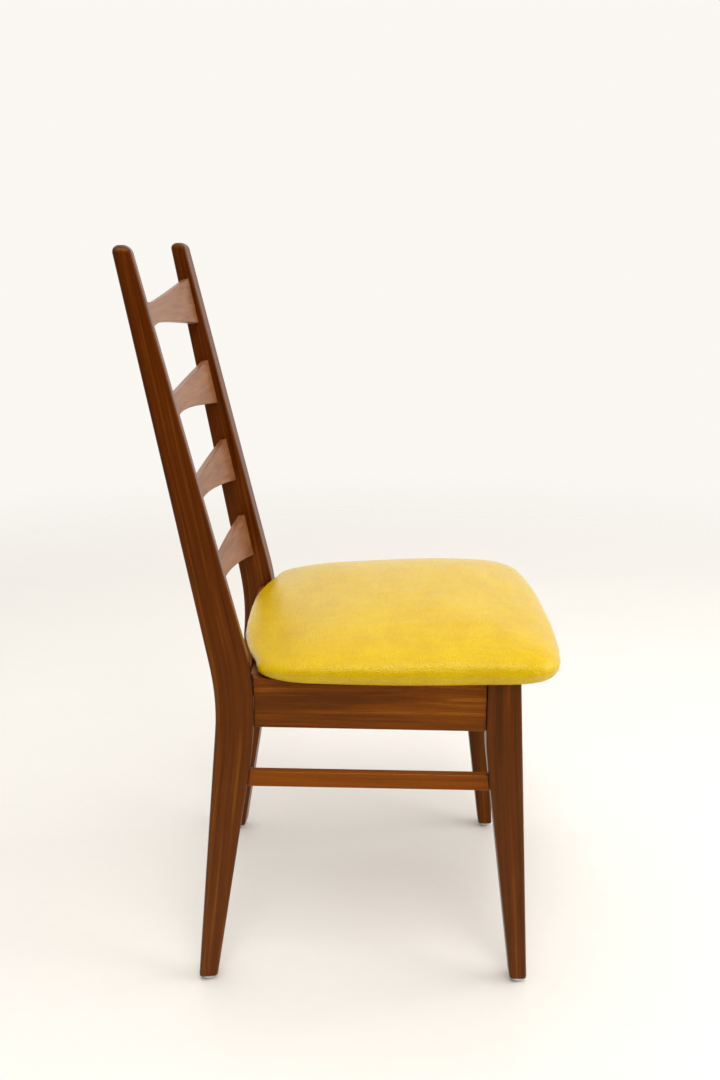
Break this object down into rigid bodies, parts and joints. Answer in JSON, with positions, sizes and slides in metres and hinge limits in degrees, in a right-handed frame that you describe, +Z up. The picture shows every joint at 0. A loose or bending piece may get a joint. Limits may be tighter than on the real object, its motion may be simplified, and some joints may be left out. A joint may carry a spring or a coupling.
{
  "type": "dining chair",
  "caption": "Ladder-back wooden dining chair with waisted, bowed back slats, a padded drop-on seat in leatherette, side stretchers and metal glides.",
  "frame": {"origin": "on the floor under the chair, midway across its overall width and overall depth", "axes": "+Z up, the chair faces -Y, the sitter's right is -X; X is the left-right symmetry direction"},
  "size_m": [0.4438, 0.5315, 0.94],
  "materials": {
    "dark_teak": "dark oiled teak, satin, straight grain",
    "rail_teak": "oiled teak, satin, striped grain",
    "slat_teak": "oiled teak, satin sheen",
    "beech": "bare beech",
    "plywood": "bare plywood",
    "foam": "open-cell upholstery foam",
    "leatherette": "pebble-grained leatherette with a soft sheen",
    "glide_steel": "nickel-plated steel",
    "screw_steel": "zinc-plated steel"
  },
  "bodies": {
    "root": {"front_rail": "rail_teak", "rear_rail": "rail_teak", "seat_board": "plywood", "seat_foam": "foam", "seat_cover": "leatherette", "back_slat_1": "slat_teak", "back_slat_2": "slat_teak", "back_slat_3": "slat_teak", "back_slat_4": "slat_teak", "rear_post_right": "dark_teak", "front_leg_right": "dark_teak", "side_rail_right": "rail_teak", "side_stretcher_right": "rail_teak", "dowel_side_rail_right_rear_lower": "beech", "dowel_side_rail_right_rear_upper": "beech", "dowel_side_rail_right_front_lower": "beech", "dowel_side_rail_right_front_upper": "beech", "dowel_front_rail_right_lower": "beech", "dowel_front_rail_right_upper": "beech", "dowel_rear_rail_right_lower": "beech", "dowel_rear_rail_right_upper": "beech", "dowel_stretcher_right_rear": "beech", "dowel_stretcher_right_front": "beech", "glide_front_right": "glide_steel", "glide_rear_right": "glide_steel", "corner_block_front_right": "beech", "block_screw_front_right_side": "screw_steel", "block_screw_front_right_cross": "screw_steel", "seat_screw_front_right": "screw_steel", "corner_block_rear_right": "beech", "block_screw_rear_right_side": "screw_steel", "block_screw_rear_right_cross": "screw_steel", "seat_screw_rear_right": "screw_steel", "rear_post_left": "dark_teak", "front_leg_left": "dark_teak", "side_rail_left": "rail_teak", "side_stretcher_left": "rail_teak", "dowel_side_rail_left_rear_lower": "beech", "dowel_side_rail_left_rear_upper": "beech", "dowel_side_rail_left_front_lower": "beech", "dowel_side_rail_left_front_upper": "beech", "dowel_front_rail_left_lower": "beech", "dowel_front_rail_left_upper": "beech", "dowel_rear_rail_left_lower": "beech", "dowel_rear_rail_left_upper": "beech", "dowel_stretcher_left_rear": "beech", "dowel_stretcher_left_front": "beech", "glide_front_left": "glide_steel", "glide_rear_left": "glide_steel", "corner_block_front_left": "beech", "block_screw_front_left_side": "screw_steel", "block_screw_front_left_cross": "screw_steel", "seat_screw_front_left": "screw_steel", "corner_block_rear_left": "beech", "block_screw_rear_left_side": "screw_steel", "block_screw_rear_left_cross": "screw_steel", "seat_screw_rear_left": "screw_steel"}
  },
  "joints": []
}
